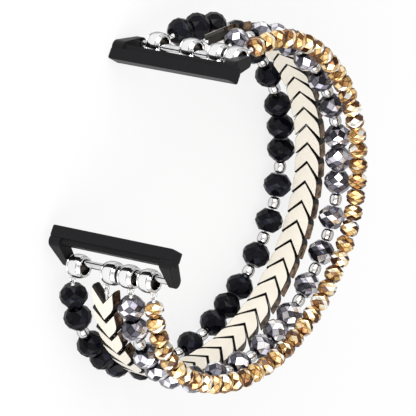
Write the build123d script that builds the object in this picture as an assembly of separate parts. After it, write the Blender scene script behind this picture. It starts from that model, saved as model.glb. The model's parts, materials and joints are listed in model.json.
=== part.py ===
from build123d import *
import itertools
import math
import os

# Bead watch band: four elastic strands of beads between two quick-fit adapters.
# Each adapter holds a spring bar in its ears. A strand hooks onto each bar through a bail,
# a short barrel with a small eye.
# The band is first built with its bars upright: X runs from the upper bar to the lower bar,
# Y runs from the adapters to the back of the loop, Z runs along the bars.
# The finished band is then laid on its side, resting on the upper adapter and the black beads.
# All lengths are in millimetres and all angles in degrees.

os.makedirs("parts", exist_ok=True)

# The loop that the strands follow, measured from the bars
bar_spacing = 47.1
loop_lower_reach = 38.5
loop_upper_reach = 34.2
loop_widest_depth = 22.0
loop_back_depth = 55.1
loop_back_shift = 1.0
lean_angle = 3.75
roll_angle = -2.9

# Adapters
ear_gap = 25.9
ear_thickness = 1.65
ear_flare = 1.1
ear_boss_radius = 1.2
ear_root_radius = 1.5
ear_root_inset = 2.6
tongue_drop = 4.3
tongue_reach = 5.6
tongue_height = 3.0
tongue_head_length = 2.4
tongue_neck_length = 1.1
tongue_neck_height = 2.1
tongue_edge_fillet = 0.4
overrun = 1.0

# Lock nub in the middle of each tongue
nub_radius = 0.7
nub_length = 1.7
nub_stand_out = 0.5
nub_edge_chamfer = 0.25
nub_clearance = 0.06
nub_travel = 0.4

# Spring bars
bar_radius = 0.75
bar_wall = 0.2
bar_end_clearance = 0.2
bar_stop_length = 1.0
pin_tip_radius = 0.42
pin_tip_seat = 1.05
pin_head_length = 3.0
pin_clearance = 0.05
pin_hole_slack = 0.15
bar_lip_length = 0.4
spring_outer_radius = 0.47
spring_inner_radius = 0.25
spring_end_gap = 0.02

# Bails
bail_length = 3.6
bail_rim_radius = 2.5
bail_body_radius = 2.3
bail_bore_radius = 1.55
bail_rim_width = 0.55
bail_rim_slope = 0.2
bail_bar_clearance = 0.06
bail_sides = 14
eye_radius = 0.75
eye_wire = 0.4
eye_sides = 12
eye_sink = 0.3
lower_leave_angle = 27.0
upper_leave_angle = 45.0

# How far each bail's barrel sits along its bar from its own eye
black_lower_bail_shift = 1.65
chevron_lower_bail_shift = 1.75
gunmetal_lower_bail_shift = -0.35
gold_lower_bail_shift = -1.2
black_upper_bail_shift = -0.45
chevron_upper_bail_shift = -0.45
gunmetal_upper_bail_shift = 0.55
gold_upper_bail_shift = -0.6

# Height of each strand at the lower eye, the upper eye and the back of the loop
black_lower_height = -12.4
black_upper_height = -9.2
black_back_height = -9.8
chevron_lower_height = -3.4
chevron_upper_height = -0.3
chevron_back_height = -3.5
gunmetal_lower_height = 2.9
gunmetal_upper_height = 5.8
gunmetal_back_height = 3.2
gold_lower_height = 8.8
gold_upper_height = 11.3
gold_back_height = 9.3

# Extra depth of a strand at the back of the loop
black_extra_depth = 0.0
chevron_extra_depth = 1.9
gunmetal_extra_depth = 3.6
gold_extra_depth = 2.2

# Elastic cords
cord_radius = 0.35
cord_sides = 6
cord_loop_radius = 0.6
cord_loop_wire = 0.3
cord_loop_sides = 8
bead_hole_radius = 0.62
bead_hole_sides = 6
bead_start_gap = 0.05
bead_gap = 0.04

# Faceted rondelles: corner radius, length, end face radius and belt width
black_bead_radius = 3.0
black_bead_length = 4.7
black_bead_end_radius = 1.6
black_bead_belt = 1.2
gunmetal_bead_radius = 2.9
gunmetal_bead_length = 4.65
gunmetal_bead_end_radius = 1.5
gunmetal_bead_belt = 1.1
gold_bead_radius = 2.05
gold_bead_length = 3.2
gold_bead_end_radius = 1.15
gold_bead_belt = 0.9
rondelle_sides = 8

# Round metal spacers
spacer_radius = 1.3
spacer_length = 2.5
spacer_end_radius = 0.85
spacer_belt = 1.1
spacer_sides = 8

# Chevron links
chevron_width = 6.0
chevron_length = 3.75
chevron_drop = 3.1
chevron_thickness = 2.3
chevron_nest_gap = 0.5
chevron_end_gap = 0.1

# Turn of the chevron links about their cord, in degrees, at shares of the cord's length
chevron_turns = (
    (0.0, 8.0), (0.18, -6.0), (0.33, 20.0), (0.5, 3.0), (0.62, 3.0), (0.76, 18.0), (1.0, 30.0)
)
no_turns = ((0.0, 0.0), (1.0, 0.0))

# Patterns from the lower bail: b is a rondelle, s is a metal spacer
pattern_start = "bbs"
pattern_repeat = "bbbsbsbsbs"

bar_half_spacing = bar_spacing / 2
ear_inner = ear_gap / 2
ear_outer = ear_inner + ear_thickness
tongue_half = ear_outer + ear_flare
bar_tube_half = ear_inner - bar_end_clearance
bail_pull = bail_bore_radius - bar_radius - bail_bar_clearance
eye_offset = bail_body_radius - eye_sink + eye_radius
eye_reach = bail_pull + eye_offset + eye_radius
bead_start = cord_loop_radius + cord_loop_wire / 2 + bead_start_gap
chevron_start_room = max(
    0, chevron_drop / 2 - bead_start - eye_offset + bail_rim_radius + chevron_end_gap
)
chevron_end_room = chevron_drop / 2 + chevron_end_gap


def polar(radius, angle):
    """Point at a distance and an angle from the X axis."""
    return Vector(radius * math.cos(math.radians(angle)), radius * math.sin(math.radians(angle)))


def ring_points(height, radius, sides):
    """Corners of a regular polygon at a height above the XY plane."""
    return [polar(radius, 360 * corner / sides) + Vector(0, 0, height) for corner in range(sides)]


def facet(*corners):
    """Flat face through its corners."""
    return Face(Wire.make_polygon(corners, close=True))


def faceted(stations, sides, hole_radius, hole_sides):
    """Solid with flat facets along Z, through (height, corner radius) stations, with a hole."""
    rings = [ring_points(height, radius, sides) for height, radius in stations]
    bottom, top = stations[0][0], stations[-1][0]
    hole = [ring_points(height, hole_radius, hole_sides) for height in (bottom, top)]
    faces = []
    for below, above in zip(rings, rings[1:]):
        for i in range(sides):
            faces.append(facet(below[i - 1], below[i], above[i], above[i - 1]))
    for i in range(hole_sides):
        faces.append(facet(hole[0][i - 1], hole[0][i], hole[1][i], hole[1][i - 1]))
    for outer, inner in ((rings[0], hole[0]), (rings[-1], hole[1])):
        faces.append(
            Face(Wire.make_polygon(outer, close=True), [Wire.make_polygon(inner, close=True)])
        )
    return Solid(Shell(faces))


def rondelle(radius, length, end_radius, belt, sides):
    """Faceted bead centred on the origin, with its hole along Z."""
    stations = [
        (-length / 2, end_radius),
        (-belt / 2, radius),
        (belt / 2, radius),
        (length / 2, end_radius),
    ]
    return faceted(stations, sides, bead_hole_radius, bead_hole_sides)


def chevron_link():
    """Arrow link centred on the origin: the apex points along +Z, the flat faces look along +X and -X."""
    half_width = chevron_width / 2
    half_length = chevron_length / 2
    apex = half_length + chevron_drop / 2
    notch = -half_length + chevron_drop / 2
    outline = Polyline(
        (0, apex),
        (half_width, apex - chevron_drop),
        (half_width, notch - chevron_drop),
        (0, notch),
        (-half_width, notch - chevron_drop),
        (-half_width, apex - chevron_drop),
        close=True,
    )
    face = Plane.YZ * make_face(outline)
    body = extrude(face, chevron_thickness / 2, both=True)
    hole = Pos(0, 0, -chevron_length) * extrude(
        RegularPolygon(bead_hole_radius, bead_hole_sides), 2 * chevron_length
    )
    return body - hole


def flat_ring(radius, wire, sides):
    """Small ring in the XY plane, centred on the origin."""
    outer = RegularPolygon(radius + wire / 2, sides)
    inner = RegularPolygon(radius - wire / 2, sides)
    return extrude(outer - inner, wire / 2, both=True)


def bail(leave_angle, eye_shift):
    """Barrel along Z around the origin, with its eye on the side that the strand leaves by."""
    half = bail_length / 2
    rim = half - bail_rim_width
    waist = rim - bail_rim_slope
    stations = [
        (-half, bail_rim_radius),
        (-rim, bail_rim_radius),
        (-waist, bail_body_radius),
        (waist, bail_body_radius),
        (rim, bail_rim_radius),
        (half, bail_rim_radius),
    ]
    barrel = faceted(stations, bail_sides, bail_bore_radius, bail_sides)
    eye = Pos(eye_offset, 0, eye_shift) * flat_ring(eye_radius, eye_wire, eye_sides)
    bore = extrude(RegularPolygon(bail_bore_radius, bail_sides), half, both=True)
    return Rot(0, 0, leave_angle) * (barrel + (eye - bore))


def biarc(start, start_direction, end, end_direction):
    """Two tangent arcs from start to end that keep both directions."""
    chord = end - start
    both = start_direction + end_direction
    turn = 2 * (1 - start_direction.dot(end_direction))
    along = chord.dot(both)
    reach = (math.sqrt(along**2 + turn * chord.dot(chord)) - along) / turn
    first = start + start_direction * reach
    last = end - end_direction * reach
    middle = (first + last) / 2
    return [
        TangentArc(start, middle, tangent=start_direction),
        TangentArc(middle, end, tangent=last - first),
    ]


def loop_path(extra_depth):
    """Centre line of a strand in its own plane, from the lower eye round the back to the upper eye."""
    lower_eye = Vector(bar_half_spacing, 0) + polar(eye_reach, lower_leave_angle)
    upper_eye = Vector(-bar_half_spacing, 0) + polar(eye_reach, 180 - upper_leave_angle)
    lower_side = Vector(loop_lower_reach, loop_widest_depth)
    upper_side = Vector(-loop_upper_reach, loop_widest_depth)
    back = Vector(loop_back_shift, loop_back_depth + extra_depth)
    backward = Vector(0, 1)
    across = Vector(-1, 0)
    edges = [TangentArc(lower_side, lower_eye, tangent=-backward)]
    edges += biarc(lower_side, backward, back, across)
    edges += biarc(back, across, upper_side, -backward)
    edges += [TangentArc(upper_side, upper_eye, tangent=-backward)]
    return Wire(edges)


def strand_plane(lower_height, upper_height, back_height, extra_depth):
    """Plane of a strand, through its two ends and the back of its loop."""
    middle = (lower_height + upper_height) / 2
    across = Vector(bar_spacing, 0, lower_height - upper_height)
    backward = Vector(0, loop_back_depth + extra_depth, back_height - middle)
    return Plane(origin=(0, 0, middle), x_dir=across, z_dir=across.cross(backward))


def ordered_path(path):
    """Path as a wire that runs from the lower eye to the upper eye."""
    if (path @ 0).X < (path @ 1).X:
        return Wire([edge.reversed() for edge in reversed(path.edges())])
    return path


def station(path, plane, start, length, angle):
    """Location on the path of a piece of that length: Z along the path, X outwards but for its turn."""
    first = path.position_at(start, position_mode=PositionMode.LENGTH)
    last = path.position_at(start + length, position_mode=PositionMode.LENGTH)
    along = last - first
    outward = along.cross(plane.z_dir)
    return Plane(origin=(first + last) / 2, x_dir=outward, z_dir=along).location * Rot(0, 0, angle)


def turned(turns, share):
    """Angle at a share of the length, between the two nearest entries of a table of turns."""
    for (low, first), (high, last) in zip(turns, turns[1:]):
        if share <= high:
            break
    return first + (last - first) * (share - low) / (high - low)


def turn(path, start, end):
    """Angle in radians that the path turns through between two lengths."""
    before = path.tangent_at(start, position_mode=PositionMode.LENGTH)
    after = path.tangent_at(end, position_mode=PositionMode.LENGTH)
    return math.radians(before.get_angle(after))


def fill(path, pattern, lengths, ends, gap, start_room, end_room):
    """Pieces of the pattern with their places on the path, with the spare length shared out.

    On the inside of the loop the ends of two pieces lean together, so each pair is set apart
    by what its end faces need there. A strand never ends with a spacer.
    """
    stop = path.length - bead_start - end_room
    pieces = []
    at = bead_start + start_room
    for kind in pattern:
        if pieces:
            last = pieces[-1][0]
            lean_together = turn(path, at - lengths[last] / 2, at + lengths[kind] / 2)
            at += gap + min(ends[last], ends[kind]) * lean_together
        if at + lengths[kind] > stop:
            break
        pieces.append((kind, at))
        at += lengths[kind]
    if pieces[-1][0] == "s":
        pieces.pop()
    last, at = pieces[-1]
    spare = (stop - at - lengths[last]) / (len(pieces) - 1)
    return [(kind, at + spare * i) for i, (kind, at) in enumerate(pieces)]


def strand_cord(path, plane):
    """Elastic cord along the whole path, with a loop round the eye at each end."""
    total = path.length
    start = cord_loop_radius / total
    run = path.trim(start, 1 - start)
    section = Plane(origin=run @ 0, x_dir=plane.z_dir, z_dir=run % 0) * RegularPolygon(
        cord_radius, cord_sides
    )
    cord = sweep(section, path=run)
    for share in (0, 1):
        spot = path @ share
        along = path % share
        ring_plane = Plane(origin=spot, x_dir=along, z_dir=along.cross(plane.z_dir))
        ring = ring_plane.location * flat_ring(cord_loop_radius, cord_loop_wire, cord_loop_sides)
        cord += ring
    return cord


def strand(heights, extra_depth, pattern, shapes, lengths, ends, gap, rooms, turns):
    """Pieces of one strand by kind, its cord and its centre line."""
    plane = strand_plane(*heights, extra_depth)
    path = ordered_path(plane.location * loop_path(extra_depth))
    groups = {kind: [] for kind in shapes}
    for kind, at in fill(path, pattern, lengths, ends, gap, *rooms):
        angle = turned(turns, (at + lengths[kind] / 2) / path.length)
        groups[kind].append(station(path, plane, at, lengths[kind], angle) * shapes[kind])
    return groups, strand_cord(path, plane), path


def strand_bail(path, share, bar_x, leave_angle, shift):
    """Bail on a bar, pulled outwards by its strand until the bore meets the bar."""
    eye = path @ share
    spot = Vector(bar_x, 0) + polar(bail_pull, leave_angle)
    return Pos(spot.X, spot.Y, eye.Z + shift) * bail(leave_angle, -shift)


def ear():
    """Upper ear of the lower adapter, a horn that grows thicker from its tip to the tongue."""
    to_root = Vector(-ear_root_inset, -tongue_drop)
    boss = Circle(ear_boss_radius)
    root = Pos(*to_root) * Circle(ear_root_radius)
    horn = extrude(make_hull(boss.edges() + root.edges()), ear_thickness + ear_flare)
    slope = to_root * (ear_flare / to_root.dot(to_root))
    outer_face = Plane(origin=(0, 0, ear_thickness), z_dir=Vector(0, 0, 1) - slope)
    return Pos(0, 0, ear_inner) * split(horn, bisect_by=outer_face, keep=Keep.BOTTOM)


def adapter():
    """Lower adapter, with its bar axis at X = 0 and Y = 0: a tongue with two ears."""
    head = Pos(-tongue_reach, -tongue_drop) * Rectangle(
        tongue_head_length, tongue_height, align=(Align.MIN, Align.CENTER)
    )
    neck = Pos(-tongue_reach + tongue_head_length, -tongue_drop) * Rectangle(
        tongue_neck_length, tongue_neck_height, align=(Align.MIN, Align.CENTER)
    )
    tongue = extrude(head + neck, tongue_half, both=True)
    ends = tongue.faces().filter_by(Axis.Z)
    tongue = fillet(ends.edges().filter_by(Axis.Y), tongue_edge_fillet)
    body = tongue + ear() + flipped(ear())
    hole_depth = pin_tip_seat + pin_hole_slack
    hole = Cylinder(pin_tip_radius + pin_clearance, 2 * (ear_inner + hole_depth))
    pocket_spot = Pos(
        -tongue_reach + tongue_head_length / 2, -tongue_drop + tongue_height / 2
    )
    pocket_depth = nub_length - nub_stand_out + nub_travel + nub_clearance
    pocket = pocket_spot * Rot(90, 0, 0) * Cylinder(
        nub_radius + nub_clearance, pocket_depth, align=(Align.CENTER, Align.CENTER, Align.MIN)
    )
    return body - hole - pocket


def lock_nub():
    """Sprung nub that clicks into the slot, in the same place as the lower adapter."""
    nub = Cylinder(nub_radius, nub_length, align=(Align.CENTER, Align.CENTER, Align.MAX))
    nub = chamfer(nub.edges().group_by(Axis.Z)[-1], nub_edge_chamfer)
    spot = Pos(
        -tongue_reach + tongue_head_length / 2,
        -tongue_drop + tongue_height / 2 + nub_stand_out,
    )
    return spot * Rot(-90, 0, 0) * nub


def bar_tube():
    """Tube of a spring bar along Z, with a lip at each end that keeps its pin and a stop inside."""
    bore = bar_radius - bar_wall
    tube = Cylinder(bar_radius, 2 * bar_tube_half)
    tube -= Cylinder(pin_tip_radius + pin_clearance, 2 * (bar_tube_half + overrun))
    for side in (-1, 1):
        half_length = (bar_tube_half - bar_lip_length - bar_stop_length / 2) / 2
        middle = side * (bar_stop_length / 2 + half_length)
        tube -= Pos(0, 0, middle) * Cylinder(bore, 2 * half_length)
    return tube + Cylinder(bore, bar_stop_length)


def bar_pin():
    """Upper pin of a spring bar along Z: a head inside the tube and a tip that reaches into the ear."""
    head_top = bar_tube_half - bar_lip_length - pin_clearance
    head = Pos(0, 0, head_top) * Cylinder(
        bar_radius - bar_wall - pin_clearance,
        pin_head_length,
        align=(Align.CENTER, Align.CENTER, Align.MAX),
    )
    tip_top = ear_inner + pin_tip_seat
    tip = Pos(0, 0, head_top) * Cylinder(
        pin_tip_radius, tip_top - head_top, align=(Align.CENTER, Align.CENTER, Align.MIN)
    )
    return head + tip


def bar_spring():
    """Spring behind the upper pin, as the sleeve that its coils fill."""
    top = bar_tube_half - bar_lip_length - pin_clearance - pin_head_length - spring_end_gap
    bottom = bar_stop_length / 2 + spring_end_gap
    sleeve = Circle(spring_outer_radius) - Circle(spring_inner_radius)
    return Pos(0, 0, bottom) * extrude(sleeve, top - bottom)


def flipped(solid):
    """The same piece at the other end of the bar."""
    return mirror(solid, about=Plane.XY)


def across(solid):
    """The same piece at the upper bar."""
    return mirror(solid, about=Plane.YZ)


nodes = {}
lower = Pos(bar_half_spacing, 0, 0)
upper = Pos(-bar_half_spacing, 0, 0)

rondelle_shapes = {
    "black": rondelle(
        black_bead_radius, black_bead_length, black_bead_end_radius, black_bead_belt, rondelle_sides
    ),
    "gunmetal": rondelle(
        gunmetal_bead_radius,
        gunmetal_bead_length,
        gunmetal_bead_end_radius,
        gunmetal_bead_belt,
        rondelle_sides,
    ),
    "gold": rondelle(
        gold_bead_radius, gold_bead_length, gold_bead_end_radius, gold_bead_belt, rondelle_sides
    ),
}
spacer = rondelle(spacer_radius, spacer_length, spacer_end_radius, spacer_belt, spacer_sides)

black_parts, black_cord, black_path = strand(
    (black_lower_height, black_upper_height, black_back_height),
    black_extra_depth,
    itertools.chain(pattern_start, itertools.cycle(pattern_repeat)),
    {"b": rondelle_shapes["black"], "s": spacer},
    {"b": black_bead_length, "s": spacer_length},
    {"b": black_bead_end_radius, "s": spacer_end_radius},
    bead_gap,
    (0, 0),
    no_turns,
)
chevron_parts, chevron_cord, chevron_path = strand(
    (chevron_lower_height, chevron_upper_height, chevron_back_height),
    chevron_extra_depth,
    itertools.cycle("b"),
    {"b": chevron_link()},
    {"b": chevron_length},
    {"b": chevron_thickness / 2},
    chevron_nest_gap,
    (chevron_start_room, chevron_end_room),
    chevron_turns,
)
gunmetal_parts, gunmetal_cord, gunmetal_path = strand(
    (gunmetal_lower_height, gunmetal_upper_height, gunmetal_back_height),
    gunmetal_extra_depth,
    itertools.chain(pattern_start, itertools.cycle(pattern_repeat)),
    {"b": rondelle_shapes["gunmetal"], "s": spacer},
    {"b": gunmetal_bead_length, "s": spacer_length},
    {"b": gunmetal_bead_end_radius, "s": spacer_end_radius},
    bead_gap,
    (0, 0),
    no_turns,
)
gold_parts, gold_cord, gold_path = strand(
    (gold_lower_height, gold_upper_height, gold_back_height),
    gold_extra_depth,
    itertools.cycle("b"),
    {"b": rondelle_shapes["gold"]},
    {"b": gold_bead_length},
    {"b": gold_bead_end_radius},
    bead_gap,
    (0, 0),
    no_turns,
)

nodes["black_beads"] = black_parts["b"]
nodes["black_strand_spacers"] = black_parts["s"]
nodes["chevron_links"] = chevron_parts["b"]
nodes["gunmetal_beads"] = gunmetal_parts["b"]
nodes["gunmetal_strand_spacers"] = gunmetal_parts["s"]
nodes["gold_beads"] = gold_parts["b"]
nodes["black_cord"] = [black_cord]
nodes["chevron_cord"] = [chevron_cord]
nodes["gunmetal_cord"] = [gunmetal_cord]
nodes["gold_cord"] = [gold_cord]

bail_shifts = {
    "black": (black_path, black_lower_bail_shift, black_upper_bail_shift),
    "chevron": (chevron_path, chevron_lower_bail_shift, chevron_upper_bail_shift),
    "gunmetal": (gunmetal_path, gunmetal_lower_bail_shift, gunmetal_upper_bail_shift),
    "gold": (gold_path, gold_lower_bail_shift, gold_upper_bail_shift),
}
for name, (path, lower_shift, upper_shift) in bail_shifts.items():
    nodes[name + "_lower_bail"] = [
        strand_bail(path, 0, bar_half_spacing, lower_leave_angle, lower_shift)
    ]
    nodes[name + "_upper_bail"] = [
        strand_bail(path, 1, -bar_half_spacing, 180 - upper_leave_angle, upper_shift)
    ]

nodes["lower_adapter"] = [lower * adapter()]
nodes["upper_adapter"] = [across(lower * adapter())]
nodes["lower_lock_nub"] = [lower * lock_nub()]
nodes["upper_lock_nub"] = [across(lower * lock_nub())]
for name, place in (("lower", lower), ("upper", upper)):
    nodes[name + "_bar_tube"] = [place * bar_tube()]
    nodes[name + "_bar_top_pin"] = [place * bar_pin()]
    nodes[name + "_bar_bottom_pin"] = [place * flipped(bar_pin())]
    nodes[name + "_bar_top_spring"] = [place * bar_spring()]
    nodes[name + "_bar_bottom_spring"] = [place * flipped(bar_spring())]

# The band lies on its side, with its origin under the middle of its outline
lean = Rot(0, roll_angle, 0) * Rot(-lean_angle, 0, 0)
laid = {name: [lean * solid for solid in solids] for name, solids in nodes.items()}
outline = Compound([solid for solids in laid.values() for solid in solids]).bounding_box()
settle = Pos(-outline.center().X, -outline.center().Y, -outline.min.Z)
for name, solids in laid.items():
    placed = [settle * solid for solid in solids]
    export_step(Compound(placed), f"parts/{name}.step")
    print(name, len(placed), "solids")

# Places that the joints and mounts use, in the laid frame
to_laid = settle * lean


def laid_point(point):
    """A point of the upright band, once it is laid."""
    return (to_laid * Pos(*point)).position


for name, path in (("black", black_path), ("gunmetal", gunmetal_path), ("gold", gold_path)):
    print("place", name + "_lower_eye", *laid_point(path @ 0))
    print("place", name + "_upper_eye", *laid_point(path @ 1))
for name, bar_x in (("lower", bar_half_spacing), ("upper", -bar_half_spacing)):
    inward = tongue_reach if bar_x < 0 else -tongue_reach
    print("place", name + "_bar", *laid_point((bar_x, 0, 0)))
    print("place", name + "_bar_top", *laid_point((bar_x, 0, ear_outer)))
    print("place", name + "_tongue_face", *laid_point((bar_x + inward, -tongue_drop, 0)))
    stop = bar_stop_length / 2
    print("place", name + "_top_spring_end", *laid_point((bar_x, 0, stop)))
    print("place", name + "_bottom_spring_end", *laid_point((bar_x, 0, -stop)))
print("direction bars", *(laid_point((0, 0, 1)) - laid_point((0, 0, 0))))
print("direction backward", *(laid_point((0, 1, 0)) - laid_point((0, 0, 0))))
for name, path in bail_shifts.items():
    print("strand", name, "length", round(path[0].length, 1))
print("box", *outline.size)
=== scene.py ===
import json
import math
import random

import bmesh
import bpy
from mathutils import Matrix, Vector

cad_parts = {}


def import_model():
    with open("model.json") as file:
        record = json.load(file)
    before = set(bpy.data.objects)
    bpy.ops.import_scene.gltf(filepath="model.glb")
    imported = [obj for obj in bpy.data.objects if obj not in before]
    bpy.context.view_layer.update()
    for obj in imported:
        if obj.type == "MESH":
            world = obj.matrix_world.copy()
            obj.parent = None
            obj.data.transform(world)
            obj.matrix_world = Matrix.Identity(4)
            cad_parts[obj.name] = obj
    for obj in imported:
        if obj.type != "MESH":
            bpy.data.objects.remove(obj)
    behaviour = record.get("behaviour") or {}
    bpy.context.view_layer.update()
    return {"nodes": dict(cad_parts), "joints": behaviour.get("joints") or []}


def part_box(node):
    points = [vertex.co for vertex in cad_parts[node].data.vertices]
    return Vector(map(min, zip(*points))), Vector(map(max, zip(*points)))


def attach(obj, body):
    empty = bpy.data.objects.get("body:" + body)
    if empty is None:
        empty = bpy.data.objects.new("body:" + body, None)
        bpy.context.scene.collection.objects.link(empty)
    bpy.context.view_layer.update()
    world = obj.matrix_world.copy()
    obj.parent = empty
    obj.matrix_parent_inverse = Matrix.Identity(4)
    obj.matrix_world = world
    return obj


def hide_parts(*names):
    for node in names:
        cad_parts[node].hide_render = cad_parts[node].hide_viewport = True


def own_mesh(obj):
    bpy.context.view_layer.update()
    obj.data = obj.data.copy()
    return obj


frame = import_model()

MM = 0.001
random.seed(11)

# Camera: degrees that it looks from, its turn about the line of sight, and the width that it takes in
CAMERA_AZIMUTH = 8.825
CAMERA_ELEVATION = 41.246
CAMERA_ROLL = -104.208
CAMERA_TARGET = Vector((2.86, -18.32, 25.79)) * MM
CAMERA_DISTANCE = 1.2
CAMERA_CLIP = (0.05, 10)
VIEW_WIDTH = 84.02 * MM

# Floor, which shows a share of plain white and otherwise its own grey, and the two lamps
FLOOR_REACH = 3.0
FLOOR_GREY = 0.74
FLOOR_ROUGHNESS = 0.9
FLOOR_WHITE_SHARE = 0.78
LAMP_SIZE = 0.6
KEY_PLACE, KEY_POWER = (-0.35, -0.5, 0.35), 4.2
FILL_PLACE, FILL_POWER = (0.5, -0.25, 0.4), 3.5

# Grey of the sky by height: the horizon and all below it first, straight overhead last
SKY_GREYS = (
    (0.0, 0.15), (0.1, 0.1), (0.2, 0.8), (0.42, 0.95), (0.56, 0.5), (0.7, 0.28), (0.82, 0.9), (1.0, 1.0),
)

# Shading that several materials share: blend of the painted shade that deepens as a surface turns away,
# roughness of coats, and the place from a facet's middle at which its painted edge shade begins
FACING_BLEND = 0.5
COAT_ROUGHNESS = 0.03
EDGE_SHADE_START = 0.72

# Plated metal: factors at which wear and the painted shade of turning away begin and end, range of its
# roughness as shares, and grain under the wear
WEAR_START, WEAR_END = 0.35, 0.6
TURN_START, TURN_END = 0.42, 0.82
LEAST_ROUGHNESS_SHARE, MOST_ROUGHNESS_SHARE = 0.7, 1.4
GRAINS_PER_WEAR = 12
GRAIN_HEIGHT = 0.02 * MM

# Grain of the black plastic
PLASTIC_SCALE = 8000.0
PLASTIC_START, PLASTIC_END = 0.3, 0.7
PLASTIC_HEIGHT = 0.03 * MM

# Cut of a rondelle: its rings as shares of its half length and of its radius, and facets round it
CROWN_HEIGHT_SHARE = 0.6
LOWER_HEIGHT_SHARE = 0.27
LOWER_RADIUS_SHARE = 0.985
FACETS_ROUND = {"black": 8, "gunmetal": 8, "gold": 6}
HALF_SIDE = 0.5
HOLE_RADIUS = 0.62 * MM

# Tones that each strand's bead triangles and rhombs are drawn from, the lightest of them painted
# reflections, how far a whole bead and one facet may be off them, and the largest lean of a bead on its
# cord, in degrees
BEAD_TONES_AND_REFLECTIONS = {
    "black": ((0.0, 0.1, 0.3, 0.5), (0.1, 0.2, 0.4, 0.7)),
    "gunmetal": ((0.1, 0.25, 0.5, 0.65), (0.05, 0.15, 0.3, 0.4, 0.6, 0.85, 1.1)),
    "gold": ((0.0, 0.2, 0.35, 0.5), (-0.2, 0.1, 0.3, 0.45, 0.65, 1.0)),
}
BEAD_TONE_SPREAD = 0.08
FACET_TONE_SPREAD = 0.05
BEAD_LEAN = {"black": 2, "gunmetal": 3, "gold": 6}

# Round spacers: radius of their ends as a share of the largest one, steps along them and sides round them
SPACER_END_SHARE = 0.52
SPACER_STEPS = 10
SPACER_SIDES = 24

# Chevron links: bevel round the faces, which carries a painted shadow outline, cut of the shoulders with the
# place of its middle corner in shares of it, and swell of the walls between two links
LINK_EDGE = 0.1 * MM
LINK_SHOULDER = 0.85 * MM
SHOULDER_IN_SHARE = 0.25
SHOULDER_DOWN_SHARE = 0.1
LINK_SWELL = 0.24 * MM

# Places in a link's list of materials: pale faces, bronze sides in painted shade and painted gap shadow;
# which of them each wall has, and which way each corner swells
PALE, SIDE, SHADOW = 0, 1, 2
WALL_MATERIALS = (SHADOW, SHADOW, SHADOW, SIDE, SHADOW, SHADOW, SIDE, SHADOW, SHADOW, SHADOW)
CORNER_SWELLS = (1, 1, 1, 0, -1, -1, -1, 0, 1, 1)

# Outline of a bail's barrel and its bore, as shares of its half length and rim radius, and its round eye
BARREL_PROFILE_SHARES = (
    (0.92, 0.65), (0.98, 0.68), (1.0, 0.73), (0.99, 0.79), (0.95, 0.84), (0.89, 0.86), (0.84, 0.85),
    (0.81, 0.82), (0.78, 0.82), (0.75, 0.87), (0.66, 0.92), (0.52, 0.96), (0.35, 0.99), (0.17, 1.0),
    (0.0, 1.0),
)
BORE_RADIUS_SHARE = 0.63
BORE_HEIGHT_SHARES = (0.84, 0.4, 0.0, -0.4, -0.84)
BARREL_SIDES = 48
EYE_RADIUS = 0.75 * MM
EYE_WIRE = 0.22 * MM

# Elastic cords, their loop round the eye, and their knot of three small loops, each with its turn and tilt
# in degrees
CORD_RADIUS = 0.3 * MM
CORD_SIDES = 12
LOOP_RADIUS = 0.6 * MM
LOOP_WIRE = 0.15 * MM
KNOT_RADIUS = 0.36 * MM
KNOT_WIRE = 0.15 * MM
KNOT_DEPTH = 0.5 * MM
KNOT_LOOPS = ((0, 20), (60, -35), (120, 60))

# Sides of a round loop, and of its wire
LOOP_SIDES = 32
WIRE_SIDES = 12

# Springs of the bars, with the steps of one turn and the sides of the wire
COIL_RADIUS = 0.36 * MM
COIL_WIRE = 0.1 * MM
COIL_TURNS = 22
COIL_STEPS = 12
COIL_SIDES = 6

# What counts in a CAD piece as one corner, one flat side, a piece's end, the rim of that end and a link's
# side, and how far a link's tip, a bail's rim, its eye and a cord's end are looked for
MERGE_DISTANCE = 0.001 * MM
FLAT_COSINE = 0.999
END_SHARE = 0.7
END_RIM_SHARE = 0.4
LINK_SIDE_SHARE = 0.95
LINK_TIP_DEPTH = 0.25 * MM
BAIL_RIM_DEPTH = 0.05 * MM
BAIL_EYE_CLEARANCE = 0.25 * MM
CORD_END_REACH = 12 * MM

ROOT = "chevron_strand_and_bars"
JOINTS = {joint["name"]: joint for joint in frame["joints"]}
BAR_AXIS = Vector(JOINTS["lower_adapter_turn"]["axis"]).normalized()


# Materials

def new_material(name):
    """Material with its nodes, its links and its shader."""
    material = bpy.data.materials.new(name)
    material.use_nodes = True
    tree = material.node_tree
    return material, tree.nodes, tree.links, tree.nodes["Principled BSDF"]


def add(nodes, kind, **inputs):
    """New node with some of its inputs set by name."""
    node = nodes.new(kind)
    for name, value in inputs.items():
        node.inputs[name.replace("_", " ")].default_value = value
    return node


def arithmetic(nodes, operation):
    """New maths node."""
    node = nodes.new("ShaderNodeMath")
    node.operation = operation
    return node


def attribute(nodes, name):
    """Output of a value that the mesh carries."""
    node = nodes.new("ShaderNodeAttribute")
    node.attribute_name = name
    return node.outputs["Fac"]


def ramp(nodes, stops):
    """Colour ramp with (place, colour) stops."""
    node = nodes.new("ShaderNodeValToRGB")
    elements = node.color_ramp.elements
    elements[0].position, elements[0].color = stops[0][0], (*stops[0][1], 1)
    elements[1].position, elements[1].color = stops[-1][0], (*stops[-1][1], 1)
    for place, colour in stops[1:-1]:
        elements.new(place).color = (*colour, 1)
    return node


def noise(nodes, links, scale, detail=3.0):
    """Noise fixed to the model."""
    place = nodes.new("ShaderNodeTexCoord")
    node = add(nodes, "ShaderNodeTexNoise", Scale=scale, Detail=detail)
    links.new(place.outputs["Object"], node.inputs["Vector"])
    return node.outputs["Fac"]


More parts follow.
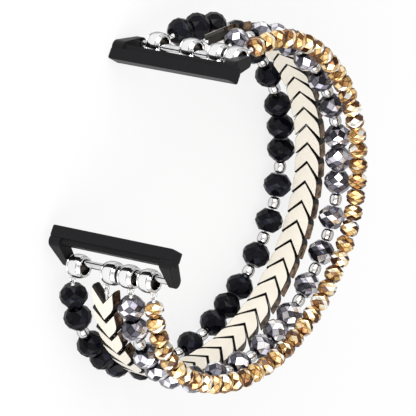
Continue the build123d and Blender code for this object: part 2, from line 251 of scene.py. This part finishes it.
def bump(nodes, links, shader, height, strength, distance, rounding=0.0):
    """Bump from a height output to the shader's normal, over edges that are rounded by a radius."""
    node = add(nodes, "ShaderNodeBump", Strength=strength, Distance=distance)
    if rounding:
        rounded = add(nodes, "ShaderNodeBevel", Radius=rounding)
        links.new(rounded.outputs["Normal"], node.inputs["Normal"])
    links.new(height, node.inputs["Height"])
    links.new(node.outputs["Normal"], shader.inputs["Normal"])


def colour_from(nodes, links, shader, factor, stops):
    """Base colour from a factor through a ramp."""
    colour = ramp(nodes, stops)
    links.new(factor, colour.inputs["Fac"])
    links.new(colour.outputs["Color"], shader.inputs["Base Color"])


def cut_glass(name, stops, metallic, roughness, specular, coat, mottle, scale, edge_shade, turn_shade):
    """Coated cut glass: each facet has its own tone, its lightest tones painted reflections, with painted
    shade at its edges and where it turns away.
    """
    material, nodes, links, shader = new_material(name)
    mottled = arithmetic(nodes, "MULTIPLY_ADD")
    mottled.inputs[1].default_value = mottle
    links.new(noise(nodes, links, scale), mottled.inputs[0])
    links.new(attribute(nodes, "tone"), mottled.inputs[2])
    # Painted shade along the edges of each facet
    fade = nodes.new("ShaderNodeMapRange")
    fade.inputs["From Min"].default_value = EDGE_SHADE_START
    fade.inputs["To Max"].default_value = -edge_shade
    links.new(attribute(nodes, "rim"), fade.inputs["Value"])
    edged = arithmetic(nodes, "ADD")
    links.new(mottled.outputs["Value"], edged.inputs[0])
    links.new(fade.outputs["Result"], edged.inputs[1])
    # Painted shade where the glass turns away from the view
    facing = add(nodes, "ShaderNodeLayerWeight", Blend=FACING_BLEND)
    turned = arithmetic(nodes, "MULTIPLY_ADD")
    turned.inputs[1].default_value = -turn_shade
    links.new(facing.outputs["Facing"], turned.inputs[0])
    links.new(edged.outputs["Value"], turned.inputs[2])
    colour_from(nodes, links, shader, turned.outputs["Value"], stops)
    shader.inputs["Metallic"].default_value = metallic
    shader.inputs["Roughness"].default_value = roughness
    shader.inputs["Specular IOR Level"].default_value = specular
    shader.inputs["Coat Weight"].default_value = coat
    shader.inputs["Coat Roughness"].default_value = COAT_ROUGHNESS
    return material


def plated(name, dark, light, roughness, scale, grain, metallic=1.0, grazing_shade=1.0):
    """Polished or satin plating with faint uneven wear, and painted shade where it turns away."""
    material, nodes, links, shader = new_material(name)
    wear = noise(nodes, links, scale, detail=4.0)
    colour = ramp(nodes, ((WEAR_START, dark), (WEAR_END, light)))
    links.new(wear, colour.inputs["Fac"])
    # Painted shade: the colour is darkened as the surface turns away from the view
    facing = add(nodes, "ShaderNodeLayerWeight", Blend=FACING_BLEND)
    shade = ramp(nodes, ((TURN_START, (1, 1, 1)), (TURN_END, (grazing_shade, grazing_shade, grazing_shade))))
    links.new(facing.outputs["Facing"], shade.inputs["Fac"])
    product = nodes.new("ShaderNodeMix")
    product.data_type = "RGBA"
    product.blend_type = "MULTIPLY"
    product.inputs["Factor"].default_value = 1.0
    links.new(colour.outputs["Color"], product.inputs["A"])
    links.new(shade.outputs["Color"], product.inputs["B"])
    links.new(product.outputs["Result"], shader.inputs["Base Color"])
    rough = nodes.new("ShaderNodeMapRange")
    rough.inputs["To Min"].default_value = roughness * LEAST_ROUGHNESS_SHARE
    rough.inputs["To Max"].default_value = roughness * MOST_ROUGHNESS_SHARE
    links.new(wear, rough.inputs["Value"])
    links.new(rough.outputs["Result"], shader.inputs["Roughness"])
    shader.inputs["Metallic"].default_value = metallic
    grains = noise(nodes, links, scale * GRAINS_PER_WEAR, detail=2.0)
    bump(nodes, links, shader, grains, grain, GRAIN_HEIGHT)
    return material


def plastic(name, dark, light, roughness, specular, grain, rounding):
    """Plastic with a fine grain and softly rounded edges."""
    material, nodes, links, shader = new_material(name)
    grains = noise(nodes, links, PLASTIC_SCALE)
    colour_from(nodes, links, shader, grains, ((PLASTIC_START, dark), (PLASTIC_END, light)))
    shader.inputs["Roughness"].default_value = roughness
    shader.inputs["Specular IOR Level"].default_value = specular
    bump(nodes, links, shader, grains, grain, PLASTIC_HEIGHT, rounding)
    return material


# The near-white top stops of the gunmetal and gold ramps are painted reflections
GLASS = {
    "black": cut_glass(
        "black_glass",
        stops=(
            (0.0, (0.001, 0.001, 0.002)), (0.5, (0.003, 0.003, 0.006)),
            (0.8, (0.009, 0.0095, 0.015)), (1.0, (0.03, 0.032, 0.048)),
        ),
        metallic=0.0, roughness=0.2, specular=0.12, coat=0.0,
        mottle=0.3, scale=700.0, edge_shade=0.15, turn_shade=0.1,
    ),
    "gunmetal": cut_glass(
        "gunmetal_glass",
        stops=(
            (0.0, (0.012, 0.012, 0.016)), (0.2, (0.045, 0.044, 0.06)), (0.4, (0.16, 0.15, 0.18)),
            (0.58, (0.38, 0.37, 0.44)), (0.75, (0.72, 0.69, 0.76)), (0.95, (0.97, 0.95, 0.97)),
        ),
        metallic=0.8, roughness=0.14, specular=0.5, coat=0.3,
        mottle=0.25, scale=600.0, edge_shade=0.25, turn_shade=0.2,
    ),
    "gold": cut_glass(
        "gold_glass",
        stops=(
            (0.0, (0.06, 0.018, 0.004)), (0.2, (0.28, 0.11, 0.025)), (0.4, (0.66, 0.38, 0.12)),
            (0.58, (0.9, 0.66, 0.29)), (0.76, (1.0, 0.88, 0.6)), (0.92, (1.0, 0.98, 0.93)),
        ),
        metallic=0.7, roughness=0.14, specular=0.5, coat=0.4,
        mottle=0.4, scale=1500.0, edge_shade=0.3, turn_shade=0.5,
    ),
}
# The last tone of each plated material is its painted shade where it turns away: faint on the pale gold,
# deepest on the silver, spacers, steel and elastic
PALE_GOLD = plated(
    "pale_gold", (0.79, 0.737, 0.636), (0.82, 0.771, 0.672),
    roughness=0.4, scale=260.0, grain=0.03, metallic=0.14, grazing_shade=0.85,
)
# Bronze of the links' side walls, darkened with painted shade
SHADED_BRONZE = plated(
    "shaded_bronze_side", (0.018, 0.011, 0.007), (0.31, 0.2, 0.125),
    roughness=0.22, scale=1000.0, grain=0.05, metallic=0.9, grazing_shade=0.4,
)
# Near-black painted shadow for the notch walls and the bevels round the link faces
GAP_SHADOW_PAINT = plated(
    "painted_gap_shadow", (0.003, 0.002, 0.002), (0.012, 0.009, 0.006),
    roughness=0.4, scale=500.0, grain=0.05, metallic=0.5,
)
SILVER = plated(
    "bright_silver", (0.84, 0.84, 0.85), (0.91, 0.91, 0.91),
    roughness=0.08, scale=300.0, grain=0.02, grazing_shade=0.04,
)
SPACER_SILVER = plated(
    "round_silver", (0.68, 0.68, 0.69), (0.86, 0.86, 0.86),
    roughness=0.08, scale=900.0, grain=0.04, grazing_shade=0.0,
)
# Painted shade inside the bails' bores
BORE_SHADE = plated(
    "shaded_bore", (0.02, 0.018, 0.016), (0.16, 0.14, 0.12), roughness=0.25, scale=500.0, grain=0.02,
)
STEEL = plated(
    "turned_steel", (0.62, 0.62, 0.63), (0.78, 0.78, 0.79),
    roughness=0.16, scale=600.0, grain=0.05, grazing_shade=0.15,
)
MATTE_BLACK = plastic(
    "matte_black", (0.002, 0.002, 0.003), (0.006, 0.006, 0.007),
    roughness=0.42, specular=0.16, grain=0.12, rounding=0.3 * MM,
)
ELASTIC = plated(
    "elastic", (0.72, 0.72, 0.7), (0.95, 0.95, 0.93),
    roughness=0.12, scale=900.0, grain=0.03, metallic=0.35, grazing_shade=0.06,
)


# Reading the CAD pieces

def mean(points):
    """Middle of some points."""
    return sum(points, Vector()) / len(points)


def across(vector, axis):
    """Part of a vector that lies across an axis."""
    return vector - axis * vector.dot(axis)


def placed(middle, outward, along):
    """Matrix that puts local X outward and local Z along the strand."""
    side = along.cross(outward).normalized()
    outward = side.cross(along).normalized()
    return Matrix.Translation(middle) @ Matrix((outward, side, along)).transposed().to_4x4()


LOOP_MIDDLE = mean(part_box("chevron_links"))


class Solid:
    """One solid of a CAD node: its corners, their middle, its place round the loop and its faces."""

    def __init__(self, node, points, faces):
        self.node = node
        self.points = points
        self.faces = faces
        self.middle = mean(points)
        self.angle = math.atan2(self.middle.x - LOOP_MIDDLE.x, LOOP_MIDDLE.y - self.middle.y) % math.tau

    def flat_direction(self):
        """Direction of the largest flat side."""
        def side_area(direction):
            return sum(area for normal, area in self.faces if normal.dot(direction) > FLAT_COSINE)
        return max((normal for normal, _ in self.faces), key=side_area)

    def ends_along(self, direction):
        """Middles of the lowest and the highest corners along a direction."""
        heights = [(point - self.middle).dot(direction) for point in self.points]
        low, high = min(heights) * END_SHARE, max(heights) * END_SHARE
        return (
            mean([point for point, height in zip(self.points, heights) if height <= low]),
            mean([point for point, height in zip(self.points, heights) if height >= high]),
        )


def solids(node):
    """Separate solids of a CAD node."""
    mesh = bmesh.new()
    mesh.from_mesh(frame["nodes"][node].data)
    bmesh.ops.remove_doubles(mesh, verts=mesh.verts, dist=MERGE_DISTANCE)
    mesh.faces.index_update()
    seen = set()
    found = []
    for first in mesh.verts:
        if first in seen:
            continue
        seen.add(first)
        group, stack = [], [first]
        while stack:
            vertex = stack.pop()
            group.append(vertex)
            for edge in vertex.link_edges:
                other = edge.other_vert(vertex)
                if other not in seen:
                    seen.add(other)
                    stack.append(other)
        faces = sorted({face for vertex in group for face in vertex.link_faces}, key=lambda face: face.index)
        found.append(Solid(
            node, [vertex.co.copy() for vertex in group],
            [(face.normal.copy(), face.calc_area()) for face in faces],
        ))
    mesh.free()
    return found


class Seat:
    """Place of one piece on its strand: its middle, length, radii and axes."""

    def __init__(self, solid, rough):
        low, high = solid.ends_along(rough)
        self.solid = solid
        self.rough = rough
        self.along = (high - low).normalized()
        self.middle = (low + high) / 2
        self.length = (high - low).length
        self.outward = self.along.cross(BAR_AXIS).normalized()
        spread = [point - self.middle for point in solid.points]
        away = [(across(spoke, self.along).length, spoke.dot(self.along)) for spoke in spread]
        self.radius = max(radius for radius, _ in away)
        self.end_radius = max(radius for radius, height in away if height > END_RIM_SHARE * self.length)

    def matrix(self, spin=0.0, tilt=0.0):
        """Matrix of the piece: local Z along the strand."""
        turn = Matrix.Rotation(spin, 4, "Z")
        lean = Matrix.Rotation(tilt, 4, "X")
        return placed(self.middle, self.outward, self.along) @ lean @ turn


def seats(*nodes):
    """Every piece of a strand, in order from the lower bail."""
    pieces = sorted((solid for node in nodes for solid in solids(node)), key=lambda solid: solid.angle)
    line = [piece.middle for piece in pieces]
    before, after = line[:1] + line[:-1], line[1:] + line[-1:]
    return [Seat(piece, (b - a).normalized()) for piece, a, b in zip(pieces, before, after)]


# Building pieces

def new_object(name, data):
    """Object in the scene."""
    thing = bpy.data.objects.new(name, data)
    bpy.context.scene.collection.objects.link(thing)
    return thing


def finish_piece(mesh, name, body, node, materials, smooth=False):
    """Object from a bmesh, riding its body in place of its CAD node."""
    bmesh.ops.recalc_face_normals(mesh, faces=mesh.faces)
    data = bpy.data.meshes.new(name)
    mesh.to_mesh(data)
    mesh.free()
    for material in materials:
        data.materials.append(material)
    if smooth:
        data.shade_smooth()
    piece = new_object(name, data)
    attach(piece, body)
    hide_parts(node)
    return piece


def ring(mesh, matrix, height, radius, sides, turn=0.0):
    """Ring of corners round local Z, turned by a share of a side."""
    angles = [math.tau * (i + turn) / sides for i in range(sides)]
    corners = [Vector((radius * math.cos(angle), radius * math.sin(angle), height)) for angle in angles]
    return [mesh.verts.new(matrix @ corner) for corner in corners]


def wire_ring(mesh, matrix, angle, radius, wire, sides, height=0.0):
    """Ring of corners round a wire that is bent about local Z, at one angle of its bend."""
    spoke = Vector((math.cos(angle), math.sin(angle), 0))
    angles = [math.tau * i / sides for i in range(sides)]
    corners = [
        spoke * (radius + wire * math.cos(a)) + Vector((0, 0, height + wire * math.sin(a))) for a in angles
    ]
    return [mesh.verts.new(matrix @ corner) for corner in corners]


def join_rings(mesh, below, above, material=0):
    """Four-sided faces between two rings."""
    for i in range(len(below)):
        face = mesh.faces.new((below[i - 1], below[i], above[i], above[i - 1]))
        face.material_index = material


def join_loop(mesh, rings):
    """Tube through some rings that comes back to the first of them."""
    for below, above in zip(rings, rings[1:] + rings[:1]):
        join_rings(mesh, below, above)


def join_tube(mesh, rings):
    """Tube through some rings, closed at both ends."""
    for below, above in zip(rings, rings[1:]):
        join_rings(mesh, below, above)
    mesh.faces.new(rings[0])
    mesh.faces.new(rings[-1])


def torus(mesh, matrix, radius, wire):
    """Round ring in the local XY plane."""
    angles = [math.tau * i / LOOP_SIDES for i in range(LOOP_SIDES)]
    join_loop(mesh, [wire_ring(mesh, matrix, angle, radius, wire, WIRE_SIDES) for angle in angles])


def facet(mesh, tone, rim, corners, value):
    """One facet as a fan round its middle, so that its edges can be shaded darker."""
    middle = mesh.verts.new(mean([corner.co for corner in corners]))
    for i, corner in enumerate(corners):
        corner[rim] = 1.0
        face = mesh.faces.new((corners[i - 1], corner, middle))
        face[tone] = value


def drawn(tones, lift):
    """Tone of one facet: one of a few, a little off, and lifted with its bead."""
    return random.choice(tones) + random.uniform(-FACET_TONE_SPREAD, FACET_TONE_SPREAD) + lift


def rondelle(mesh, tone, rim, seat, matrix, strand, lift):
    """Cut glass bead: triangles round each end, five rows of rhombs between, and a drilled hole."""
    triangles, rhombs = BEAD_TONES_AND_REFLECTIONS[strand]
    count = FACETS_ROUND[strand]
    half = seat.length / 2
    lower_radius = seat.radius * LOWER_RADIUS_SHARE
    taper = (lower_radius - seat.end_radius) / (1 - LOWER_HEIGHT_SHARE)
    crown_radius = (seat.end_radius + taper * (1 - CROWN_HEIGHT_SHARE)) / math.cos(math.pi / count)
    belt = ring(mesh, matrix, 0.0, seat.radius, count, HALF_SIDE)
    holes, lowers = [], []
    for side in (-1, 1):
        table = ring(mesh, matrix, side * half, seat.end_radius, count)
        crown = ring(mesh, matrix, side * half * CROWN_HEIGHT_SHARE, crown_radius, count, HALF_SIDE)
        lower = ring(mesh, matrix, side * half * LOWER_HEIGHT_SHARE, lower_radius, count)
        hole = ring(mesh, matrix, side * half, HOLE_RADIUS, count)
        for i in range(count):
            end_triangle = (table[i - 1], table[i], crown[i - 1])
            crown_rhomb = (table[i], crown[i - 1], lower[i], crown[i])
            lower_rhomb = (crown[i - 1], lower[i - 1], belt[i - 1], lower[i])
            facet(mesh, tone, rim, end_triangle, drawn(triangles, lift))
            facet(mesh, tone, rim, crown_rhomb, drawn(rhombs, lift))
            facet(mesh, tone, rim, lower_rhomb, drawn(rhombs, lift))
        join_rings(mesh, table, hole)
        holes.append(hole)
        lowers.append(lower)
    join_rings(mesh, *holes)
    for i in range(count):
        belt_rhomb = (lowers[0][i], belt[i - 1], lowers[1][i], belt[i])
        facet(mesh, tone, rim, belt_rhomb, drawn(rhombs, lift))


def bead_strand(strand, places):
    """All the rondelles of a strand as one piece."""
    node = strand + "_beads"
    lean = BEAD_LEAN[strand]
    mesh = bmesh.new()
    tone = mesh.faces.layers.float.new("tone")
    rim = mesh.verts.layers.float.new("rim")
    for seat in places:
        if seat.solid.node != node:
            continue
        lift = random.uniform(-BEAD_TONE_SPREAD, BEAD_TONE_SPREAD)
        matrix = seat.matrix(random.uniform(0, math.tau), math.radians(random.uniform(-lean, lean)))
        rondelle(mesh, tone, rim, seat, matrix, strand, lift)
    finish_piece(mesh, strand + "_rondelles", strand + "_strand", node, [GLASS[strand]])


def spacer_strand(strand, places):
    """Small round metal spacers, lathed smooth."""
    node = strand + "_strand_spacers"
    mesh = bmesh.new()
    for seat in places:
        if seat.solid.node == node:
            spacer(mesh, seat)
    finish_piece(
        mesh, strand + "_spacer_set", strand + "_strand", node, [SPACER_SILVER], smooth=True,
    )


def spacer(mesh, seat):
    """One spacer: its round outside from end to end, then back through its hole."""
    matrix = seat.matrix()
    rings = []
    for i in range(SPACER_STEPS + 1):
        share = -math.cos(math.pi * i / SPACER_STEPS)
        swell = math.sqrt(max(0.0, 1 - share * share))
        radius = seat.radius * (SPACER_END_SHARE + (1 - SPACER_END_SHARE) * swell)
        rings.append(ring(mesh, matrix, share * seat.length / 2, radius, SPACER_SIDES))
    for side in (1, -1):
        rings.append(ring(mesh, matrix, side * seat.length / 2, HOLE_RADIUS, SPACER_SIDES))
    join_loop(mesh, rings)


def chevron_links(places):
    """Arrow links with pale faces, bronze sides in painted shade, and painted shadow on the notches and
    bevels.
    """
    mesh = bmesh.new()
    for seat in places:
        link(mesh, seat)
    finish_piece(
        mesh, "chevron_link_set", ROOT, "chevron_links", [PALE_GOLD, SHADED_BRONZE, GAP_SHADOW_PAINT],
    )


def link(mesh, seat):
    """One link, on the corners of its CAD solid."""
    middle = seat.solid.middle
    outward = seat.solid.flat_direction()
    if outward.dot(middle - LOOP_MIDDLE) < 0:
        outward = -outward
    rough = across(seat.rough, outward).normalized()
    spread = [point - middle for point in seat.solid.points]
    top = max(spoke.dot(rough) for spoke in spread)
    tip = mean([p for p in seat.solid.points if (p - middle).dot(rough) > top - LINK_TIP_DEPTH])
    along = across(tip - middle, outward).normalized()
    side = along.cross(outward).normalized()
    half_thickness = max(spoke.dot(outward) for spoke in spread)
    outline = link_outline([(spoke.dot(side), spoke.dot(along)) for spoke in spread])
    inner = inset(outline, LINK_EDGE)
    swollen = [(y, z + LINK_SWELL * share) for (y, z), share in zip(outline, CORNER_SWELLS)]
    layers = (
        (-half_thickness, inner), (LINK_EDGE - half_thickness, outline), (-half_thickness / 2, swollen),
        (half_thickness / 2, swollen), (half_thickness - LINK_EDGE, outline), (half_thickness, inner),
    )
    rings = [
        [mesh.verts.new(middle + outward * x + side * y + along * z) for y, z in shape]
        for x, shape in layers
    ]
    count = len(outline)
    for step, (below, above) in enumerate(zip(rings, rings[1:])):
        bevel = step in (0, len(rings) - 2)
        for i in range(count):
            j = (i + 1) % count
            face = mesh.faces.new((below[i], below[j], above[j], above[i]))
            # Bevels and notch walls carry the painted gap shadow
            face.material_index = SHADOW if bevel else WALL_MATERIALS[i]
    half = count // 2 + 1
    for cap in (rings[0], rings[-1]):
        for corners in (cap[:half], [cap[0], *cap[half - 1:]]):
            face = mesh.faces.new(corners)
            face.material_index = PALE


def link_outline(corners):
    """Arrow outline of a link from its CAD corners: one half from the tip to the notch, then its mirror."""
    half_width = max(y for y, _ in corners)
    tip = max(z for _, z in corners)
    tail = min(z for _, z in corners)
    shoulder = max(z for y, z in corners if y > LINK_SIDE_SHARE * half_width)
    drop = tip - shoulder
    half = [
        (0.0, tip),
        (half_width - LINK_SHOULDER, shoulder + drop * LINK_SHOULDER / half_width),
        (half_width - SHOULDER_IN_SHARE * LINK_SHOULDER, shoulder - SHOULDER_DOWN_SHARE * LINK_SHOULDER),
        (half_width, shoulder - LINK_SHOULDER),
        (half_width, tail),
        (0.0, tail + drop),
    ]
    return half + [(-y, z) for y, z in reversed(half[1:-1])]


def inset(outline, width):
    """Outline moved inwards by a width."""
    following = outline[1:] + outline[:1]
    area = sum(a[0] * b[1] - b[0] * a[1] for a, b in zip(outline, following))
    lines = []
    for (x0, y0), (x1, y1) in zip(outline, following):
        length = math.copysign(math.hypot(x1 - x0, y1 - y0), area)
        dx, dy = (x1 - x0) / length, (y1 - y0) / length
        lines.append((x0 - dy * width, y0 + dx * width, dx, dy))
    points = []
    for (ax, ay, adx, ady), (bx, by, bdx, bdy) in zip(lines[-1:] + lines[:-1], lines):
        share = ((bx - ax) * bdy - (by - ay) * bdx) / (adx * bdy - ady * bdx)
        points.append((ax + adx * share, ay + ady * share))
    return points


def bail(strand, end):
    """Polished barrel with two rims and a deep bore, and its round eye."""
    node = f"{strand}_{end}_bail"
    points = solids(node)[0].points
    heights = [point.dot(BAR_AXIS) for point in points]
    half_length = (max(heights) - min(heights)) / 2
    top = max(heights) - BAIL_RIM_DEPTH
    rims = [point for point, height in zip(points, heights) if height > top]
    centre = mean(rims) - BAR_AXIS * half_length
    rim_radius = max(across(point - centre, BAR_AXIS).length for point in rims)
    spokes = [across(point - centre, BAR_AXIS) for point in points]
    reach = max(spoke.length for spoke in spokes)
    past_rim = rim_radius + BAIL_EYE_CLEARANCE
    eye = [(point, spoke) for point, spoke in zip(points, spokes) if spoke.length > past_rim]
    direction = mean([spoke for _, spoke in eye]).normalized()
    shift = BAR_AXIS * (mean([point for point, _ in eye]) - centre).dot(BAR_AXIS)
    mesh = bmesh.new()
    barrel(mesh, placed(centre, direction, BAR_AXIS), half_length, rim_radius)
    eye_centre = centre + direction * (reach - EYE_RADIUS - EYE_WIRE) + shift
    torus(mesh, placed(eye_centre, direction, BAR_AXIS), EYE_RADIUS, EYE_WIRE)
    finish_piece(mesh, node + "_polished", ROOT, node, [SILVER, BORE_SHADE], smooth=True)


def barrel(mesh, matrix, half_length, rim_radius):
    """Barrel of a bail: its outside from rim to rim, then back through its bore in painted shade."""
    profile = [(-z, r) for z, r in BARREL_PROFILE_SHARES]
    profile += [(z, r) for z, r in reversed(BARREL_PROFILE_SHARES[:-1])]
    outside = len(profile) - 1
    profile += [(z, BORE_RADIUS_SHARE) for z in BORE_HEIGHT_SHARES]
    rings = [ring(mesh, matrix, z * half_length, r * rim_radius, BARREL_SIDES) for z, r in profile]
    for i, (below, above) in enumerate(zip(rings, rings[1:] + rings[:1])):
        join_rings(mesh, below, above, 0 if i < outside else 1)


def cord(strand, body, places):
    """Elastic cord through a strand, with a loop round the eye and a knot at each end."""
    node = strand + "_cord"
    points = solids(node)[0].points
    mesh = bmesh.new()
    line = [seat.middle for seat in places]
    for seat, side in ((places[0], -1), (places[-1], 1)):
        along = seat.along * side
        centre = loop_centre(points, seat.middle, along)
        torus(mesh, placed(centre, along, seat.outward), LOOP_RADIUS, LOOP_WIRE)
        knot(mesh, placed(centre - along * (LOOP_RADIUS + KNOT_DEPTH), seat.outward, along))
        line.insert(0 if side < 0 else len(line), centre - along * LOOP_RADIUS)
    rings = []
    for i, point in enumerate(line):
        along = (line[min(i + 1, len(line) - 1)] - line[max(i - 1, 0)]).normalized()
        matrix = placed(point, along.cross(BAR_AXIS).normalized(), along)
        rings.append(ring(mesh, matrix, 0, CORD_RADIUS, CORD_SIDES))
    join_tube(mesh, rings)
    finish_piece(mesh, strand + "_elastic_cord", body, node, [ELASTIC], smooth=True)


def loop_centre(points, start, along):
    """Middle of the cord's own loop beyond a strand's end piece."""
    near = [point for point in points if (point - start).length < CORD_END_REACH]
    reach = max((point - start).dot(along) for point in near)
    loop = [point for point in near if (point - start).dot(along) > reach - 2 * LOOP_RADIUS]
    low = [min(point[i] for point in loop) for i in range(3)]
    high = [max(point[i] for point in loop) for i in range(3)]
    return (Vector(low) + Vector(high)) / 2


def knot(mesh, matrix):
    """Small loops drawn tight over each other."""
    for turn, tilt in KNOT_LOOPS:
        lean = Matrix.Rotation(math.radians(turn), 4, "Z") @ Matrix.Rotation(math.radians(tilt), 4, "X")
        torus(mesh, matrix @ lean, KNOT_RADIUS, KNOT_WIRE)


def spring(bar, end):
    """Coil spring in its CAD sleeve's room."""
    node = f"{bar}_bar_{end}_spring"
    points = [vertex.co.copy() for vertex in frame["nodes"][node].data.vertices]
    heights = [point.dot(BAR_AXIS) for point in points]
    low, high = min(heights), max(heights)
    middle = mean(points)
    foot = middle + BAR_AXIS * (low - middle.dot(BAR_AXIS))
    matrix = placed(foot, BAR_AXIS.cross(Vector((0, 1, 0))).normalized(), BAR_AXIS)
    steps = COIL_TURNS * COIL_STEPS
    rise = (high - low - 2 * COIL_WIRE) / steps
    mesh = bmesh.new()
    rings = []
    for i in range(steps + 1):
        angle = math.tau * i / COIL_STEPS
        height = COIL_WIRE + rise * i
        rings.append(wire_ring(mesh, matrix, angle, COIL_RADIUS, COIL_WIRE, COIL_SIDES, height))
    join_tube(mesh, rings)
    piece = finish_piece(mesh, node + "_coil", ROOT, node, [STEEL], smooth=True)
    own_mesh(piece)


def dress_cad_pieces():
    """Materials of the CAD nodes that stay: adapters, nubs, tubes and pins."""
    for node, piece in frame["nodes"].items():
        if "adapter" in node:
            material = MATTE_BLACK
        elif "bar_" in node or "nub" in node:
            material = STEEL
        else:
            continue
        piece.data.materials.clear()
        piece.data.materials.append(material)


strands = {
    "black": seats("black_beads", "black_strand_spacers"),
    "gunmetal": seats("gunmetal_beads", "gunmetal_strand_spacers"),
    "gold": seats("gold_beads"),
}
chevrons = seats("chevron_links")

for strand, places in strands.items():
    bead_strand(strand, places)
for strand in ("black", "gunmetal"):
    spacer_strand(strand, strands[strand])
chevron_links(chevrons)
for strand in ("black", "chevron", "gunmetal", "gold"):
    for end in ("lower", "upper"):
        bail(strand, end)
for strand, places in strands.items():
    cord(strand, strand + "_strand", places)
cord("chevron", ROOT, chevrons)
for bar in ("lower", "upper"):
    for end in ("top", "bottom"):
        spring(bar, end)
dress_cad_pieces()


# Floor, light and camera

def floor():
    """Plain white floor that keeps a faint shadow of the band."""
    data = bpy.data.meshes.new("floor")
    corners = [(x * FLOOR_REACH, y * FLOOR_REACH, 0) for x, y in ((-1, -1), (1, -1), (1, 1), (-1, 1))]
    data.from_pydata(corners, [], [(0, 1, 2, 3)])
    plane = new_object("floor", data)
    material, nodes, links, shader = new_material("floor_white")
    shader.inputs["Base Color"].default_value = (FLOOR_GREY, FLOOR_GREY, FLOOR_GREY, 1)
    shader.inputs["Roughness"].default_value = FLOOR_ROUGHNESS
    shader.inputs["Specular IOR Level"].default_value = 0.0
    white = add(nodes, "ShaderNodeEmission", Color=(1, 1, 1, 1), Strength=1.0)
    share = arithmetic(nodes, "MULTIPLY")
    share.inputs[1].default_value = FLOOR_WHITE_SHARE
    links.new(seen_directly(nodes, links), share.inputs[0])
    mix = nodes.new("ShaderNodeMixShader")
    links.new(share.outputs["Value"], mix.inputs["Fac"])
    links.new(shader.outputs["BSDF"], mix.inputs[1])
    links.new(white.outputs["Emission"], mix.inputs[2])
    links.new(mix.outputs["Shader"], nodes["Material Output"].inputs["Surface"])
    data.materials.append(material)


def seen_directly(nodes, links):
    """One for rays from the camera, from polished surfaces and through glass."""
    path = nodes.new("ShaderNodeLightPath")
    total = path.outputs["Is Camera Ray"]
    for kind in ("Is Glossy Ray", "Is Transmission Ray"):
        either = arithmetic(nodes, "MAXIMUM")
        links.new(total, either.inputs[0])
        links.new(path.outputs[kind], either.inputs[1])
        total = either.outputs["Value"]
    return total


def world():
    """Soft studio surround: bright overhead, with darker bands that give the metal its contrast."""
    sky = bpy.data.worlds.new("studio")
    bpy.context.scene.world = sky
    sky.use_nodes = True
    nodes, links = sky.node_tree.nodes, sky.node_tree.links
    place = nodes.new("ShaderNodeTexCoord")
    split = nodes.new("ShaderNodeSeparateXYZ")
    links.new(place.outputs["Generated"], split.inputs["Vector"])
    band = ramp(nodes, [(height, (grey, grey, grey)) for height, grey in SKY_GREYS])
    links.new(split.outputs["Z"], band.inputs["Fac"])
    background = nodes["Background"]
    links.new(band.outputs["Color"], background.inputs["Color"])
    background.inputs["Strength"].default_value = 1.0


def lamp(name, place, power):
    """Soft square lamp aimed at the band."""
    data = bpy.data.lights.new(name, "AREA")
    data.size = LAMP_SIZE
    data.energy = power
    light = new_object(name, data)
    light.location = place
    light.rotation_mode = "QUATERNION"
    light.rotation_quaternion = (Vector(place) - CAMERA_TARGET).to_track_quat("Z", "Y")


def camera():
    """Long lens at the photograph's angle."""
    azimuth, elevation = math.radians(CAMERA_AZIMUTH), math.radians(CAMERA_ELEVATION)
    flat = math.cos(elevation)
    toward = Vector((math.sin(azimuth) * flat, -math.cos(azimuth) * flat, math.sin(elevation)))
    level = Vector((0, 0, 1)).cross(toward).normalized()
    roll = math.radians(CAMERA_ROLL)
    up = toward.cross(level) * math.cos(roll) + level * math.sin(roll)
    right = up.cross(toward)
    data = bpy.data.cameras.new("camera")
    data.lens = data.sensor_width * CAMERA_DISTANCE / VIEW_WIDTH
    data.clip_start, data.clip_end = CAMERA_CLIP
    view = new_object("camera", data)
    axes = Matrix((right, up, toward)).transposed().to_4x4()
    view.matrix_world = Matrix.Translation(CAMERA_TARGET + toward * CAMERA_DISTANCE) @ axes
    bpy.context.scene.camera = view


floor()
world()
lamp("key", KEY_PLACE, KEY_POWER)
lamp("fill", FILL_PLACE, FILL_POWER)
camera()
bpy.context.scene.view_settings.view_transform = "Standard"
